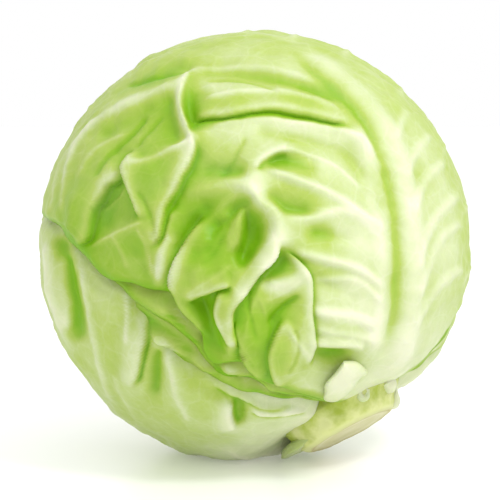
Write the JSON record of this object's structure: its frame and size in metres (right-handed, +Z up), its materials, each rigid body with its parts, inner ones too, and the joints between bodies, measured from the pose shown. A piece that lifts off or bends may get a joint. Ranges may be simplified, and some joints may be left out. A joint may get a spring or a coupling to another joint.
{
  "type": "cabbage head",
  "caption": "Whole round white cabbage head lying on its side on a small flat spot, cut stalk low at the near right.",
  "frame": {"origin": "under the middle of the head's box, on the surface that it rests on", "axes": "+Z up, +X to the right when the big front leaf faces the viewer, -Y towards the viewer"},
  "size_m": [0.1702, 0.174, 0.1673],
  "materials": {
    "leaf_blade": "satin",
    "pale_blade": "satin",
    "leaf_base": "satin",
    "heart_leaf": "satin",
    "stalk_flesh": "matte"
  },
  "bodies": {
    "root": {"front_leaf": "leaf_blade", "second_leaf": "leaf_blade", "third_leaf": "leaf_blade", "right_back_leaf": "leaf_blade", "lower_leaf": "pale_blade", "crown_leaf": "pale_blade", "torn_leaf_base": "leaf_base", "lower_leaf_stub": "leaf_base", "right_leaf_stub": "leaf_base", "small_leaf_stub": "leaf_base", "bud_stub": "leaf_base", "heart": "heart_leaf", "stalk": "stalk_flesh"}
  },
  "joints": []
}
